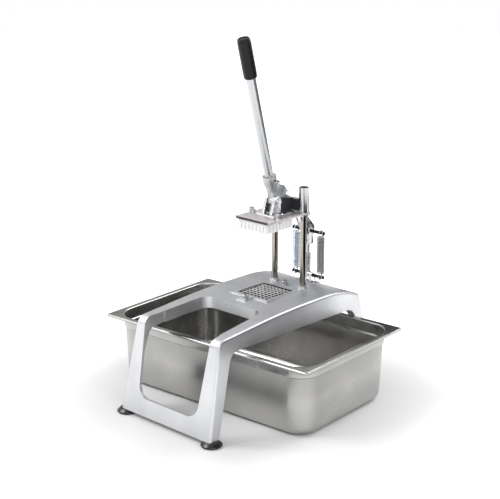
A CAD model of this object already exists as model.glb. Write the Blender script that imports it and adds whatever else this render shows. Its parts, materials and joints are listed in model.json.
"""Looks of the french fry cutter: metals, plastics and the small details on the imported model.

Everything is in metres in the model's own frame: +X to the right, +Y to the back, +Z up.
"""
import bmesh
import bpy
import json
import numpy as np
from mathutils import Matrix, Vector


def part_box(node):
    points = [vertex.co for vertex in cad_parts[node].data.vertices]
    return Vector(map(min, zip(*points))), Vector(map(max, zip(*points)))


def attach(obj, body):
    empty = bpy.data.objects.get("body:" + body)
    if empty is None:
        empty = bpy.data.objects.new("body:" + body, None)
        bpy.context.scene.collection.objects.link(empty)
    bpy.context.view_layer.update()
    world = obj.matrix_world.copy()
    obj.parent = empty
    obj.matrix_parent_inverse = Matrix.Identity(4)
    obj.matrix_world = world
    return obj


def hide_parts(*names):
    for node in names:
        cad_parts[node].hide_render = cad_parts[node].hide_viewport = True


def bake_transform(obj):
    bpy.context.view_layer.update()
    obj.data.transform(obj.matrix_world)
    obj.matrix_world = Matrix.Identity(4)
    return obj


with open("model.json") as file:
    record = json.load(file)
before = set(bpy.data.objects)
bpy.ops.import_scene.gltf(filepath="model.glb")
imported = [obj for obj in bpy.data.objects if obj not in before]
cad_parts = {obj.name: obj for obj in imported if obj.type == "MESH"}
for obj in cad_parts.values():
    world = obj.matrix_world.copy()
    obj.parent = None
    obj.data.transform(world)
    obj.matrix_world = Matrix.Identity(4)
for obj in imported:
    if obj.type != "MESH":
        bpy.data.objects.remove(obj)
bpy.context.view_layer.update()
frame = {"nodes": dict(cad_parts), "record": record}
nodes = frame["nodes"]
MM = 0.001
POST_Y = 0.119                          # the guide posts' line, in metres
GRID_Y, GRID_HALF = 0.046, 0.0455       # the blade grid's middle and half depth along Y, in metres
ROD_Y, LOW_ROD_Z, HIGH_ROD_Z = 182.0, 221.0, 318.0      # the two cross rods, in mm
WIRE_D, COIL_D, ROD_D = 2.6, 16.8, 7    # spring wire, coil and cross rod, in mm
FACING = 0.9                            # least part of a normal along an axis for a face that looks along it


# ---------------------------------------------------------------- colour and nodes

def linear(hex_colour):
    """sRGB hex to linear: c / 12.92 below 0.04045, else ((c + 0.055) / 1.055) ** 2.4."""
    c = np.array([int(hex_colour[i:i + 2], 16) for i in (1, 3, 5)]) / 255
    low, high = c / 12.92, ((c + 0.055) / 1.055) ** 2.4
    return (*np.where(c <= 0.04045, low, high), 1.0)


def add(tree, kind, settings=None, stops=(), **links):
    """One node with its settings and inputs. An input is a value, or the output socket it is linked to, and
    i0 names the first one. Stops are the (place, hex colour or grey level) pairs of a colour ramp. An
    existing node in place of the kind gets its inputs."""
    node = tree.nodes.new(kind) if isinstance(kind, str) else kind
    for key, value in (settings or {}).items():
        setattr(node, key, value)
    for key, value in links.items():
        slot = node.inputs[int(key[1:])] if key[1:].isdigit() else node.inputs[key.replace("_", " ")]
        if isinstance(value, bpy.types.NodeSocket):
            tree.links.new(value, slot)
        else:
            slot.default_value = value
    while stops and len(node.color_ramp.elements) < len(stops):
        node.color_ramp.elements.new(0.5)
    for point, (place, colour) in zip(node.color_ramp.elements if stops else (), stops):
        point.position = place
        point.color = linear(colour) if isinstance(colour, str) else (colour, colour, colour, 1)
    return node


def surface(name, **sockets):
    """A material of one Principled shader: returns it, its tree, its shader and the Object coordinates."""
    material = bpy.data.materials.new(name)
    material.use_nodes = True
    tree = material.node_tree
    shader = add(tree, tree.nodes["Principled BSDF"], **sockets)
    return material, tree, shader, add(tree, "ShaderNodeTexCoord").outputs["Object"]


def worked(name, size_mm, colours, roughness, squeeze=(1, 1, 1), detail=3.0, depth_mm=0.0, **sockets):
    """A worked surface: one noise, whose spots are size_mm across and longer along the axes of small
    squeeze, leads the colour between two hex values, the roughness between two levels, and a bump."""
    material, tree, shader, place = surface(name, **sockets)
    drawn = add(tree, "ShaderNodeMapping", Vector=place, Scale=squeeze)
    marks = add(tree, "ShaderNodeTexNoise", Vector=drawn.outputs[0], Scale=1 / (size_mm * MM), Detail=detail)
    marks = marks.outputs["Fac"]
    tone = add(tree, "ShaderNodeValToRGB", Fac=marks, stops=[(0.32, colours[0]), (0.68, colours[1])])
    rough = add(tree, "ShaderNodeValToRGB", Fac=marks, stops=[(0.32, roughness[0]), (0.68, roughness[1])])
    add(tree, shader, Base_Color=tone.outputs["Color"], Roughness=rough.outputs["Color"])
    if depth_mm:
        bump = add(tree, "ShaderNodeBump", Height=marks, Distance=depth_mm * MM, Strength=0.6)
        add(tree, shader, Normal=bump.outputs["Normal"])
    return material


# ---------------------------------------------------------------- materials

def cast_aluminium():
    """Sand cast and tumbled aluminium under a clear lacquer: a fine grain, a broad soft shine, and faint
    clouds a hand's breadth across."""
    material, tree, shader, place = surface("cast_aluminium", Metallic=1.0)
    cloud = add(tree, "ShaderNodeTexNoise", Vector=place, Scale=1 / 0.06, Detail=3.0).outputs["Fac"]
    tone = add(tree, "ShaderNodeValToRGB", Fac=cloud, stops=[(0.3, "#c3c4c7"), (0.7, "#d2d3d5")])
    # a 0.4 mm grain, drawn at 1.6 mm so that it shows
    grain = add(tree, "ShaderNodeTexNoise", Vector=place, Scale=1 / 0.0016, Detail=4.0).outputs["Fac"]
    rough = add(tree, "ShaderNodeValToRGB", Fac=grain, stops=[(0.3, 0.34), (0.7, 0.46)])
    bump = add(tree, "ShaderNodeBump", Height=grain, Distance=0.0001, Strength=0.7)
    add(tree, shader, Base_Color=tone.outputs["Color"], Roughness=rough.outputs["Color"],
        Normal=bump.outputs["Normal"])
    return material


def ground_blade():
    """Stainless blade strip: the ground cutting edge, 2 mm high, is bright, and below it the flanks keep the
    dark rolled and hardened skin."""
    material, tree, shader, place = surface("ground_blade_steel", Metallic=1.0)
    height = add(tree, "ShaderNodeSeparateXYZ", Vector=place).outputs["Z"]
    flank_ends, edge_begins = 0.2131, 0.2135
    ground = add(tree, "ShaderNodeMapRange", Value=height, i1=flank_ends, i2=edge_begins).outputs["Result"]
    tone = add(tree, "ShaderNodeValToRGB", Fac=ground, stops=[(0.0, "#0c0c0d"), (1.0, "#f2f2f2")])
    rough = add(tree, "ShaderNodeValToRGB", Fac=ground, stops=[(0.0, 0.5), (1.0, 0.3)])
    add(tree, shader, Base_Color=tone.outputs["Color"], Roughness=rough.outputs["Color"])
    return material


CAST = cast_aluminium()
BLADE = ground_blade()
# deep drawn 18/10 stainless: an even soft haze that rolls over some 70 mm
PAN = worked("drawn_stainless", 70, ("#b4b3b1", "#c0bfbd"), (0.2, 0.28), Metallic=1.0)
# bead blasted and wiped stainless: near white, with faint wiping streaks across
FRAME = worked("blasted_stainless", 1.2, ("#cfcfce", "#dfdfde"), (0.28, 0.4), (0.1, 1, 1), 4.0, 0.01,
               Metallic=1.0)
# drawn and satin polished tube: streaks too fine to see singly, drawn 0.8 mm wide
TUBE = worked("satin_stainless_tube", 0.8, ("#acaeb0", "#b8babc"), (0.26, 0.34), (1, 1, 0.05), 3.0,
              Metallic=1.0)
# ground and hard chromed steel: a slightly warm mirror with very fine rings
CHROME = worked("hard_chrome", 1.2, ("#8a8580", "#98938e"), (0.06, 0.12), (0.05, 0.05, 1), 2.0, Metallic=1.0)
# turned steel sleeves: fine rings from the lathe tool, 0.5 mm apart, drawn at 1.5 mm
TURNED = worked("turned_steel", 1.5, ("#aeb0b2", "#b6b8ba"), (0.17, 0.2), (0.05, 0.05, 1), 2.0, Metallic=1.0)
# bright zinc plate: slightly bluish, softly mirror like, with faint blotches
ZINC = worked("zinc_plate", 4, ("#b4b8bc", "#cfd2d5"), (0.18, 0.3), Metallic=1.0)
# polished steel strip of the arm and bracket
STRIP = worked("polished_strip_steel", 2.5, ("#cfd0d1", "#e2e3e3"), (0.16, 0.28), (1, 0.3, 0.3), Metallic=1.0)
# cast aluminium of the lever's socket: darker and coarser than the stand, with a grain of some 1.6 mm
SOCKET = worked("coarse_cast_aluminium", 1.6, ("#a3a4a6", "#bcbdbf"), (0.36, 0.5), detail=4.0, depth_mm=0.08,
                Metallic=1.0)
# old oil in the channel of the bracket and on the edge of the plate: a dark, faintly red film
OILED = worked("oil_darkened_steel", 3, ("#3a3335", "#544a4c"), (0.3, 0.42), Metallic=1.0)
# nickel plate on the pusher plate: a warm, faintly pinkish white metal
NICKEL = worked("nickel_plate", 9, ("#cfc8ca", "#e2dcde"), (0.38, 0.46), Metallic=1.0)
# cold drawn spring wire, zinc plated on the left and phosphated on the right, with draw marks of 1.5 mm
SPRING_BLUE = worked("zinc_plated_spring_wire", 1.5, ("#b9c6d2", "#e2eaf0"), (0.2, 0.34), Metallic=1.0)
SPRING_GREY = worked("phosphated_spring_wire", 1.5, ("#8b8e91", "#b9bbbd"), (0.25, 0.4), Metallic=1.0)
# blackened steel: dark and oily, with worn lighter grain
OXIDE = worked("black_oxide_steel", 2.5, ("#1b1c1e", "#36373a"), (0.3, 0.45), detail=4.0, Metallic=1.0)
# stoved dark enamel on a casting: satin, with a fine orange peel
ENAMEL = worked("dark_grey_enamel", 1.2, ("#232427", "#303236"), (0.36, 0.48), depth_mm=0.03, IOR=1.5)
# sintered bronze full of oil: dark brown grey, matt from its pores
BRONZE = worked("oiled_sintered_bronze", 0.5, ("#4b4338", "#655a48"), (0.4, 0.55), Metallic=1.0)
# machined white acetal: a soft sheen, cutter marks, and a little light inside
ACETAL = worked("white_acetal", 1.5, ("#f0f0f0", "#f7f7f7"), (0.32, 0.42), (1, 0.1, 1), IOR=1.48,
                Subsurface_Weight=0.05, Subsurface_Radius=(0.003, 0.003, 0.003))
# moulded nitrile rubber: deep black with a semi gloss skin and a slight bloom
RUBBER = worked("black_nitrile_rubber", 8, ("#070708", "#101012"), (0.2, 0.32), IOR=1.52)
# moulded black polypropylene with a spark eroded grain of about 1 mm
GRIP = worked("black_polypropylene", 1.1, ("#040405", "#101112"), (0.3, 0.44), depth_mm=0.06, IOR=1.49,
              Specular_IOR_Level=0.25)

FINISH = {
    CAST: ["stand_casting"],
    SOCKET: ["lever_socket"],
    PAN: ["food_pan"],
    FRAME: ["grid_frame"],
    BLADE: ["blades_across", "blades_along"],
    TUBE: ["lever_tube"],
    CHROME: ["guide_post_left", "guide_post_right"],
    TURNED: ["sleeve_left", "sleeve_right", "grid_screws", "pusher_screws"],
    ZINC: ["foot_screws", "post_nuts", "bracket_screws", "lower_rod_clips", "upper_rod_clips", "pivot_pin",
           "pivot_clips", "arm_screws", "tie_barrel", "tie_plunger"],
    STRIP: ["lever_bracket", "rear_arm", "spring_bracket", "crosshead"],
    NICKEL: ["pusher_plate"],
    SPRING_BLUE: ["spring_left"],
    SPRING_GREY: ["spring_right"],
    OXIDE: ["lower_rod", "upper_rod", "socket_screws"],
    BRONZE: ["sleeve_bushes"],
    ACETAL: ["pusher_block"],
    RUBBER: ["rubber_feet"],
    GRIP: ["grip", "grip_cap"],
}
for material, names in FINISH.items():
    for name in names:
        nodes[name].data.materials.clear()
        nodes[name].data.materials.append(material)


# ---------------------------------------------------------------- surfaces

BODY = {name: body for body, names in frame["record"]["behaviour"]["bodies"].items() for name in names}


def show(name, mesh, node):
    """An object at the origin, with its place in its mesh, that stands for a CAD node and rides with it."""
    made = bpy.data.objects.new(name, mesh)
    bpy.context.scene.collection.objects.link(made)
    if not mesh.materials:
        mesh.materials.append(nodes[node].data.materials[0])
    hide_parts(node)
    return made


def skin(name, grid, loop=False):
    """Faces between the rows of a (rows, columns, 3) grid whose columns close on themselves. Loop closes the
    rows too, and else one face closes the first row and one the last."""
    rows, columns = grid.shape[:2]
    i = np.arange(rows if loop else rows - 1)[:, None]
    j = np.arange(columns)[None, :]
    i2, j2 = (i + 1) % rows, (j + 1) % columns
    corners = np.broadcast_arrays(i * columns + j, i * columns + j2, i2 * columns + j2, i2 * columns + j)
    faces = np.stack(corners, -1).reshape(-1, 4).tolist()
    if not loop:
        faces += [list(range(columns))[::-1], list(range((rows - 1) * columns, rows * columns))]
    mesh = bpy.data.meshes.new(name)
    mesh.from_pydata(grid.reshape(-1, 3).tolist(), [], faces)
    mesh.polygons.foreach_set("use_smooth", np.ones(len(mesh.polygons), bool))
    work = bmesh.new()
    work.from_mesh(mesh)
    bmesh.ops.recalc_face_normals(work, faces=work.faces)
    work.to_mesh(mesh)
    work.free()
    return mesh


def rounded_edges(node, width_mm, paint=None):
    """A CAD node's copy, its flat faces made whole, with its sharp edges rounded. Paint is (material, face
    test) for the faces that differ, and the test gets a face's middle and normal."""
    mesh = nodes[node].data.copy()
    work = bmesh.new()
    work.from_mesh(mesh)
    bmesh.ops.remove_doubles(work, verts=work.verts, dist=2e-6)
    bmesh.ops.dissolve_limit(work, angle_limit=np.radians(0.3), verts=work.verts, edges=work.edges)
    for face in work.faces:
        face.smooth = True
        if paint and paint[1](np.array(face.calc_center_median()), np.array(face.normal)):
            face.material_index = 1
    work.to_mesh(mesh)
    work.free()
    if paint:
        mesh.materials.append(paint[0])
    made = show(node + "_finished", mesh, node)
    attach(made, BODY[node])
    edge = made.modifiers.new("rounded edges", "BEVEL")
    edge.width = width_mm * MM
    edge.segments = 3
    edge.limit_method = "ANGLE"
    edge.angle_limit = np.radians(32)
    edge.harden_normals = True
    edge.miter_outer = "MITER_ARC"
    return made


# ---------------------------------------------------------------- stand casting

def side_loop(inset, steps=24):
    """The casting's outline from the side, in mm, moved in by inset: at each corner an arc
    c + (r - inset) (cos a, sin a), where a runs from one side's outward direction to the next one's. It is
    carried on below the feet. The corner points p are (y, z), and r holds their radii."""
    front, back, low, lean = (-206, 198.5), (217.3, 193.5), -30.0, 39.5
    feet = [(front[0] - lean * (front[1] - low) / (front[1] - 10), low),
            (back[0] + lean * (back[1] - low) / (back[1] - 10), low)]
    p = np.array([*feet, back, (156, 214), (-20, 213.5), front])
    r = np.array([15.0, 15.0, 20.0, 290.0, 2000.0, 20.0])[:, None]
    along = np.roll(p, -1, axis=0) - p
    along /= np.linalg.norm(along, axis=1, keepdims=True)
    after = np.stack([along[:, 1], -along[:, 0]], -1)
    before = np.roll(after, 1, axis=0)
    c = p - r * (before + after) / (1 + np.sum(before * after, axis=1, keepdims=True))
    first = np.arctan2(before[:, 1], before[:, 0])
    turn = np.arctan2(before[:, 0] * after[:, 1] - before[:, 1] * after[:, 0], np.sum(before * after, axis=1))
    a = first[:, None] + turn[:, None] * np.linspace(0, 1, steps)
    arcs = c[:, None] + (r[..., None] - inset) * np.stack([np.cos(a), np.sin(a)], -1)
    return arcs.reshape(-1, 2)


def casting_form(r=5.5):
    """The form that the casting's long outer edges are rounded to: side loops from one side face to the
    other, whose inset and distance from the side face follow r (1 - sin t) and r (1 - cos t), and run on
    straight, past the casting's own faces, before t = 8 and after t = 82 degrees. In the middle the form
    stands 6 mm clear of the deck's bosses."""
    t = np.radians(np.linspace(8, 82, 8))
    inward, inset = r * (1 - np.cos(t)), r * (1 - np.sin(t))
    inward = np.concatenate([[-1], inward, inward[-1] + (1 + inset[-1]) * np.tan(t[-1]) + np.array([0, 12])])
    inset = np.concatenate([[inset[0] + (1 + inward[1]) / np.tan(t[0])], inset, [-1, -6]])
    # the side faces stand half_width from the middle at the height foot_z, and lean inwards by slope
    half_width, foot_z, slope = 125.7, 10, 0.06439
    rows = []
    for side in (1, -1):
        for place, depth in list(zip(inward, inset))[::side]:
            y, z = side_loop(depth).T
            rows.append(np.stack([side * (half_width - (z - foot_z) * slope - place), y, z], -1))
    return skin("casting_form", np.array(rows) * MM)


def rounded_casting():
    """The casting with its small edges rounded by 2 mm, and its long outer edges by the form's 5.5 mm."""
    made = rounded_edges("stand_casting", 2.0)
    form = bpy.data.objects.new("casting_form", casting_form())
    bpy.context.scene.collection.objects.link(form)
    cut = made.modifiers.new("outer form", "BOOLEAN")
    cut.operation = "INTERSECT"
    cut.solver = "EXACT"
    cut.object = form
    whole = bpy.data.meshes.new_from_object(made.evaluated_get(bpy.context.evaluated_depsgraph_get()))
    made.modifiers.clear()
    made.data = whole
    bpy.data.objects.remove(form)
    whole.polygons.foreach_set("use_smooth", np.ones(len(whole.polygons), bool))
    whole.set_sharp_from_angle(angle=np.radians(40))
    flat = made.modifiers.new("flat faces stay flat", "WEIGHTED_NORMAL")
    flat.keep_sharp = True


# ---------------------------------------------------------------- food pan

def pan_loop(inset, z, r, half=(265.0, 162.5), steps=12):
    """A rounded rectangle, inset from the rim's outline, at height z: each corner is a quarter circle
    centre + r (cos t, sin t) with t a quarter turn on from the last corner's."""
    hx, hy = half[0] - inset, half[1] - inset
    t = np.linspace(0, np.pi / 2, steps)[None, :] + np.arange(4)[:, None] * np.pi / 2
    sx, sy = np.array([[1], [-1], [-1], [1]]), np.array([[1], [1], [-1], [-1]])
    x, y = sx * (hx - r) + r * np.cos(t), sy * (hy - r) + r * np.sin(t)
    return np.column_stack([x.ravel(), y.ravel(), np.full(x.size, z)])


def food_pan():
    """Loops stacked down the inside and up the outside of the sheet: a turned down rim, a flat flange, a
    stacking shoulder, walls with a slight draft, and a bottom whose edge is a quarter circle. The two
    bottoms are closed by one face each."""
    h, sheet = 150.0, 1.0
    bend = np.linspace(0, np.pi / 2, 9)
    inside = [(0, h - 5, 4), (0, h - 2.4, 4), (0.2, h - 1.3, 4), (0.8, h - 0.5, 4.4), (2.0, h, 5),
              (5.0, h, 14), (8.5, h, 30), (11.6, h, 43), (12.7, h - 0.3, 44), (13.6, h - 1.2, 45),
              (14.0, h - 2.8, 45), (14.0, h - 22.6, 45), (14.2, h - 24, 45), (15, h - 25, 44.6),
              (16, h - 25.8, 44.2), (16.5, h - 27.2, 44), (18.0, h - 75, 43)]
    inside += [(20 + 18 * (1 - np.cos(t)), 19 - 18 * np.sin(t), 42 - 17 * (1 - np.cos(t))) for t in bend]
    outside = [(19 + 19 * (1 - np.cos(t)), 19 - 19 * np.sin(t), 43 - 18 * (1 - np.cos(t)))
               for t in bend[::-1]]
    outside += [(17.0, h - 75, 44), (15.5, h - 27.6, 45), (14.6, h - 26.4, 45.4), (13.4, h - 25.6, 46),
                (13.0, h - 24, 46), (13.0, h - 3, 46), (11.8, h - sheet - 0.5, 44), (3, h - sheet - 0.5, 6),
                (1.6, h - 2.2, 4), (1.3, h - 3, 3), (1.3, h - 5, 3)]
    share = np.array([1, 2, 3]) / 3
    inside += [(38 + 110 * k, sheet, 24 * (1 - 0.75 * k)) for k in share]
    outside = [(38 + 110 * k, 0.0, 24 * (1 - 0.75 * k)) for k in share[::-1]] + outside
    # the loops run from the middle of the underside, up the outside, over the rim and down the inside
    grid = np.array([pan_loop(*row) for row in outside + inside])
    # the pan stands in the stand turned by 3.5 degrees
    turn = np.radians(3.5)
    spin = np.array([[np.cos(turn), np.sin(turn), 0], [-np.sin(turn), np.cos(turn), 0], [0, 0, 1]])
    place = np.mean(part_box("food_pan"), axis=0) * (1, 1, 0)
    made = show("food_pan_drawn", skin("food_pan_drawn", grid @ spin * MM + place), "food_pan")
    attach(made, "pan")


# ---------------------------------------------------------------- springs

def spring_path():
    """The wire's path round its own middle: an arc about the lower rod, a lead, the coils, and the same
    again up to the upper rod. Coil points are (r sin a, r cos a) while the height grows evenly."""
    low, high, seat, coils, per_coil = LOW_ROD_Z, HIGH_ROD_Z, 8.5, 24, 8
    hook_r, coil_r = (ROD_D + WIRE_D) / 2 + 0.3, (COIL_D - WIRE_D) / 2
    a = np.radians(205 * (1 - np.arange(11) / 10))
    ends = []
    for z, up in ((low, -1), (high, 1)):
        arc = np.stack([0 * a, hook_r * np.cos(a), z + up * hook_r * np.sin(a)], -1)
        lead = [[up * 0.8, hook_r + 0.1, z - up * 0.35 * seat], [up * 1.9, hook_r + 0.6, z - up * 0.7 * seat],
                [up * 2, hook_r + 1.5, z - up * 0.93 * seat]]
        ends.append(np.concatenate([arc, lead]))
    i = np.arange(coils * per_coil + 1)
    b = 2 * np.pi * i / per_coil
    heights = low + seat + i / (coils * per_coil) * (high - low - 2 * seat)
    coiled = np.stack([coil_r * np.sin(b), coil_r * np.cos(b), heights], -1)
    return np.concatenate([ends[0], coiled, ends[1][::-1]])


def smooth_path(points, cuts=3):
    """Each stretch p1 to p2 is cut by the cubic (2 p1 + (p2 - p0) t + (2 p0 - 5 p1 + 4 p2 - p3) t^2
    + (3 p1 - p0 - 3 p2 + p3) t^3) / 2."""
    wide = np.concatenate([2 * points[:1] - points[1:2], points, 2 * points[-1:] - points[-2:-1]])
    p0, p1, p2, p3 = [wide[k:len(wide) - 3 + k][:, None] for k in range(4)]
    t = (np.arange(cuts) / cuts)[None, :, None]
    cubic = (2 * p1 + (p2 - p0) * t + (2 * p0 - 5 * p1 + 4 * p2 - p3) * t**2
             + (3 * p1 - p0 - 3 * p2 + p3) * t**3) / 2
    return np.concatenate([cubic.reshape(-1, 3), points[-1:]])


def round_wire(path, d, sides=12):
    """Rings p + d / 2 (u cos a + v sin a) along a path, where u and v are square to its direction. The start
    of a is turned from ring to ring by as much as u turned about the direction, so that no ring is wrung."""
    t = np.gradient(path, axis=0)
    t /= np.linalg.norm(t, axis=1, keepdims=True)
    side = np.where(np.abs(t[:, :1]) < 0.7, [[1.0, 0, 0]], [[0, 0.6, 0.8]])
    u = side - t * np.sum(side * t, axis=1, keepdims=True)
    u /= np.linalg.norm(u, axis=1, keepdims=True)
    v = np.cross(t, u)
    carried = np.arctan2(np.sum(u[:-1] * v[1:], axis=1), np.sum(u[:-1] * u[1:], axis=1))
    start = np.concatenate([[0], np.cumsum(carried)])
    a = start[:, None] + np.arange(sides)[None, :] * 2 * np.pi / sides
    return path[:, None] + d / 2 * (u[:, None] * np.cos(a)[..., None] + v[:, None] * np.sin(a)[..., None])


def spring(node, x):
    """One round wire from hook to hook. It follows the rods within 7 mm of each, and stretches in between."""
    rings = round_wire(smooth_path(spring_path()), WIRE_D) + (x, ROD_Y, 0)
    made = show(node + "_wire", skin(node + "_wire", rings * MM), node)
    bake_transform(made)


food_pan()
spring("spring_left", -34.2)
spring("spring_right", 34.2)
rounded_casting()
# the crosshead's side and front faces are painted, and its middle, 27 mm wide, is bare
rounded_edges("crosshead", 1.0, paint=(
    ENAMEL, lambda c, n: abs(c[0]) > 0.0135 and (abs(n[0]) > FACING or n[1] < -FACING)))
# the grid's two ears lie in the deck and have its finish
rounded_edges("grid_frame", 0.3, paint=(CAST, lambda c, n: abs(c[1] - GRID_Y) > GRID_HALF))
# the plate's front edge keeps a dark stain of oil
rounded_edges("pusher_plate", 0.7, paint=(OILED, lambda c, n: n[1] < -FACING))
for node, width in {"lever_socket": 1.5, "lever_bracket": 1.2, "rear_arm": 0.8, "spring_bracket": 0.6,
                    "tie_plunger": 0.6}.items():
    rounded_edges(node, width)


# ---------------------------------------------------------------- stage, light and camera

def seen_white(tree):
    """1 for camera, glossy and transmission rays, which see the plain white background, and else 0."""
    rays, either = add(tree, "ShaderNodeLightPath").outputs, {"operation": "MAXIMUM"}
    first = add(tree, "ShaderNodeMath", either, i0=rays["Is Camera Ray"], i1=rays["Is Glossy Ray"]).outputs[0]
    return add(tree, "ShaderNodeMath", either, i0=first, i1=rays["Is Transmission Ray"]).outputs[0]


def stage_floor():
    """A wide pale floor that keeps the object's soft shadow. Where rays see the background it glows more
    and more from under the object outwards, and reaches the world's white, a strength of 1, at 0.85 m."""
    mesh = bpy.data.meshes.new("floor")
    half = 6.0
    corners = [(-half, -half, 0), (half, -half, 0), (half, half, 0), (-half, half, 0)]
    mesh.from_pydata(corners, [], [(0, 1, 2, 3)])
    floor = bpy.data.objects.new("floor", mesh)
    bpy.context.scene.collection.objects.link(floor)
    material, tree, shader, place = surface("pale_floor", Roughness=0.9, Base_Color=linear("#dadada"))
    away = add(tree, "ShaderNodeVectorMath", {"operation": "LENGTH"}, i0=place).outputs["Value"]
    glow_starts, glow_full = 0.22, 0.85
    share = add(tree, "ShaderNodeMapRange", Value=away, i1=glow_starts, i2=glow_full, i3=0.0, i4=1.0)
    share = share.outputs["Result"]
    glow = add(tree, "ShaderNodeMath", {"operation": "MULTIPLY"}, i0=share, i1=seen_white(tree)).outputs[0]
    add(tree, shader, Emission_Color=linear("#ffffff"), Emission_Strength=glow)
    mesh.materials.append(material)


def arc(radius, first, last):
    """A path on the plan about the posts: c + radius (cos a, sin a), where a runs from first to last."""
    a = np.radians(np.linspace(first, last, 25))
    return np.stack([radius * np.cos(a), POST_Y + radius * np.sin(a)], -1)


def studio_card(name, path, height, shade):
    """A matt strip along a path on the plan, from one height to the other, that only mirroring surfaces see,
    as a studio sets round metal to give it dark edges. Its outer side is clear."""
    strip = np.concatenate([np.column_stack([path, np.full(len(path), z)]) for z in height])
    i = np.arange(len(path) - 1)
    mesh = bpy.data.meshes.new(name)
    mesh.from_pydata(strip.tolist(), [], np.stack([i, i + 1, i + len(path) + 1, i + len(path)], -1).tolist())
    card = bpy.data.objects.new(name, mesh)
    bpy.context.scene.collection.objects.link(card)
    card.visible_camera = card.visible_diffuse = card.visible_transmission = card.visible_shadow = False
    material, tree, shader, _ = surface(name, Roughness=1.0, Base_Color=linear(shade))
    inner = add(tree, "ShaderNodeNewGeometry").outputs["Backfacing"]
    clear = add(tree, "ShaderNodeBsdfTransparent").outputs[0]
    both = add(tree, "ShaderNodeMixShader", i0=inner, i1=clear, i2=shader.outputs[0])
    add(tree, tree.nodes["Material Output"], Surface=both.outputs[0])
    mesh.materials.append(material)


def white_world():
    """Grey room light, seen as plain white by the camera and by glossy and transmission rays."""
    world = bpy.data.worlds.new("studio")
    bpy.context.scene.world = world
    world.use_nodes = True
    tree = world.node_tree
    tree.nodes.clear()
    room = add(tree, "ShaderNodeBackground", Color=linear("#ffffff"), Strength=0.55)
    white = add(tree, "ShaderNodeBackground", Color=linear("#ffffff"), Strength=1.0)
    both = add(tree, "ShaderNodeMixShader", i0=seen_white(tree), i1=room.outputs[0], i2=white.outputs[0])
    add(tree, "ShaderNodeOutputWorld", Surface=both.outputs[0])


def soft_lamp(name, place, aim, size, power):
    """A square soft box at place, looking at aim."""
    lamp = bpy.data.lights.new(name, "AREA")
    lamp.shape = "SQUARE"
    lamp.size = size
    lamp.energy = power
    shown = bpy.data.objects.new(name, lamp)
    bpy.context.scene.collection.objects.link(shown)
    shown.location = place
    back = np.array(place, float) - np.array(aim, float)
    turn_z = np.arctan2(back[0], -back[1])
    turn_x = np.arctan2(np.hypot(back[0], back[1]), back[2])
    shown.rotation_euler = (turn_x, 0, turn_z)


def photo_camera():
    """The photograph's view: 43.03 degrees round from the front and 16.26 degrees up, on an 88.4 mm lens."""
    round_deg, up_deg = 43.03, 16.26
    camera = bpy.data.cameras.new("camera")
    camera.lens = 88.4
    camera.sensor_width = 36.0
    camera.sensor_fit = "HORIZONTAL"
    camera.clip_end = 50
    shown = bpy.data.objects.new("camera", camera)
    bpy.context.scene.collection.objects.link(shown)
    shown.location = (1.6241, -1.7402, 1.0081)
    shown.rotation_euler = (np.radians(90 - up_deg), 0, np.radians(round_deg))
    bpy.context.scene.camera = shown


bpy.context.scene.view_settings.view_transform = "Standard"
stage_floor()
white_world()
# the cards stand outside the part's box and higher than the pan's rim, so that the pan slides under them. The
# gap between the two dark ones is what the flat right hand faces mirror, and card_back also shows, too dark,
# in the flat rim at the pan's right back corner
studio_card("card_right", np.array([(0.266, -0.27), (0.266, 0.262)]), (0.158, 0.345), "#1c1c1c")
studio_card("card_back", arc(0.3, 57, 105), (0.158, 0.345), "#1c1c1c")
studio_card("card_lever", arc(0.5, 0, 95), (0.38, 0.68), "#6a6c6e")
studio_card("card_behind", arc(1.7, 110, 170), (0.3, 1.2), "#9a9a9a")
soft_lamp("key", (-1.6, -1.6, 2.6), (0, 0, 0.2), 1.6, 60)
soft_lamp("fill", (2.4, -1.2, 1.6), (0, 0, 0.2), 1.4, 24)
soft_lamp("rim", (0.6, 2.4, 2.2), (0, 0, 0.3), 1.2, 40)
photo_camera()
